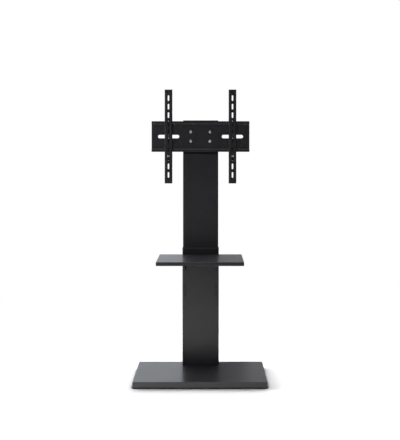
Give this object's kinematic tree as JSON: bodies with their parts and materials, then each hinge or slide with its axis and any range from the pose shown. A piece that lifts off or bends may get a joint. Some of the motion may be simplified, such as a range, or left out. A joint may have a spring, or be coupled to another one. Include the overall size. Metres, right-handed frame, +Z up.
{
  "type": "tv stand",
  "caption": "Pedestal floor stand: rectangular steel base, folded column, sliding mast with a panning head and hook-on mounting arms, and a hook-on shelf.",
  "frame": {"origin": "middle of the base on the floor, under the middle of the base cover", "axes": "+Z up, +X to the right seen from the front, -Y towards the viewer, the side that the shelf reaches to"},
  "size_m": [0.6, 0.4, 1.335],
  "materials": {
    "powder_coat": "charcoal powder coat, satin",
    "dark_steel": "phosphated, dark and matt",
    "zinc": "bright zinc plate",
    "black_plastic": "fine moulded grain",
    "rubber": "moulded, matt",
    "nylon": "natural, smooth"
  },
  "bodies": {
    "base": {"base_cover": "powder_coat", "base_plate": "dark_steel", "cover_screw_1": "zinc", "cover_screw_2": "zinc", "cover_screw_3": "zinc", "cover_screw_4": "zinc", "column_foot": "dark_steel", "column_bolt_1": "zinc", "column_bolt_2": "zinc", "column_bolt_3": "zinc", "column_bolt_4": "zinc", "lower_column": "powder_coat", "column_collar": "black_plastic", "clamp_bridge": "powder_coat", "clamp_nut_bar": "dark_steel", "height_bolt_upper": "zinc", "height_bolt_lower": "zinc", "height_washer_upper": "zinc", "height_washer_lower": "zinc"},
    "foot_1": {"foot_pad_1": "rubber", "foot_stud_1": "zinc"},
    "foot_2": {"foot_pad_2": "rubber", "foot_stud_2": "zinc"},
    "foot_3": {"foot_pad_3": "rubber", "foot_stud_3": "zinc"},
    "foot_4": {"foot_pad_4": "rubber", "foot_stud_4": "zinc"},
    "rear_cover": {"rear_cover": "powder_coat"},
    "mast": {"mast": "powder_coat", "mast_front_cover": "powder_coat", "mast_shoe": "black_plastic", "mast_cap": "black_plastic", "cable_grommet": "rubber", "head_bracket": "powder_coat", "head_bolt_1": "zinc", "head_bolt_2": "zinc", "head_bolt_3": "zinc", "head_bolt_4": "zinc", "pivot_pin": "zinc", "pivot_nut": "zinc"},
    "pan_head": {"pan_bracket": "powder_coat", "pivot_washer_upper": "nylon", "pivot_washer_lower": "nylon", "cross_plate": "powder_coat", "pan_bolt_1": "zinc", "pan_bolt_2": "zinc", "pan_bolt_3": "zinc", "pan_bolt_4": "zinc"},
    "arm_left": {"arm_left": "powder_coat", "arm_lock_screw_left": "black_plastic"},
    "arm_right": {"arm_right": "powder_coat", "arm_lock_screw_right": "black_plastic"},
    "shelf": {"shelf_panel": "powder_coat", "shelf_bracket_left": "powder_coat", "shelf_bracket_right": "powder_coat", "shelf_screw_1": "zinc", "shelf_screw_2": "zinc", "shelf_screw_3": "zinc", "shelf_screw_4": "zinc"}
  },
  "joints": [
    {"name": "foot_1_level", "type": "slide", "parent": "base", "child": "foot_1", "axis": [0, 0, 1], "range_m": [-0.01, 0]},
    {"name": "foot_2_level", "type": "slide", "parent": "base", "child": "foot_2", "axis": [0, 0, 1], "range_m": [-0.01, 0]},
    {"name": "foot_3_level", "type": "slide", "parent": "base", "child": "foot_3", "axis": [0, 0, 1], "range_m": [-0.01, 0]},
    {"name": "foot_4_level", "type": "slide", "parent": "base", "child": "foot_4", "axis": [0, 0, 1], "range_m": [-0.01, 0]},
    {"name": "rear_cover_off", "type": "slide", "parent": "base", "child": "rear_cover", "axis": [0, 1, 0], "range_m": [0, 0.06]},
    {"name": "mast_height", "type": "slide", "parent": "base", "child": "mast", "axis": [0, 0, 1], "range_m": [-0.1, 0.1]},
    {"name": "head_pan", "type": "hinge", "parent": "mast", "child": "pan_head", "pos_m": [0, 0.1037, 1.115], "axis": [0, 0, 1], "range_deg": [-20, 20]},
    {"name": "arm_left_slide", "type": "slide", "parent": "pan_head", "child": "arm_left", "axis": [-1, 0, 0], "range_m": [-0.1, 0.05]},
    {"name": "arm_right_slide", "type": "slide", "parent": "pan_head", "child": "arm_right", "axis": [1, 0, 0], "range_m": [-0.1, 0.05]},
    {"name": "shelf_lift", "type": "slide", "parent": "base", "child": "shelf", "axis": [0, 0, 1], "range_m": [0, 0.0075]}
  ]
}
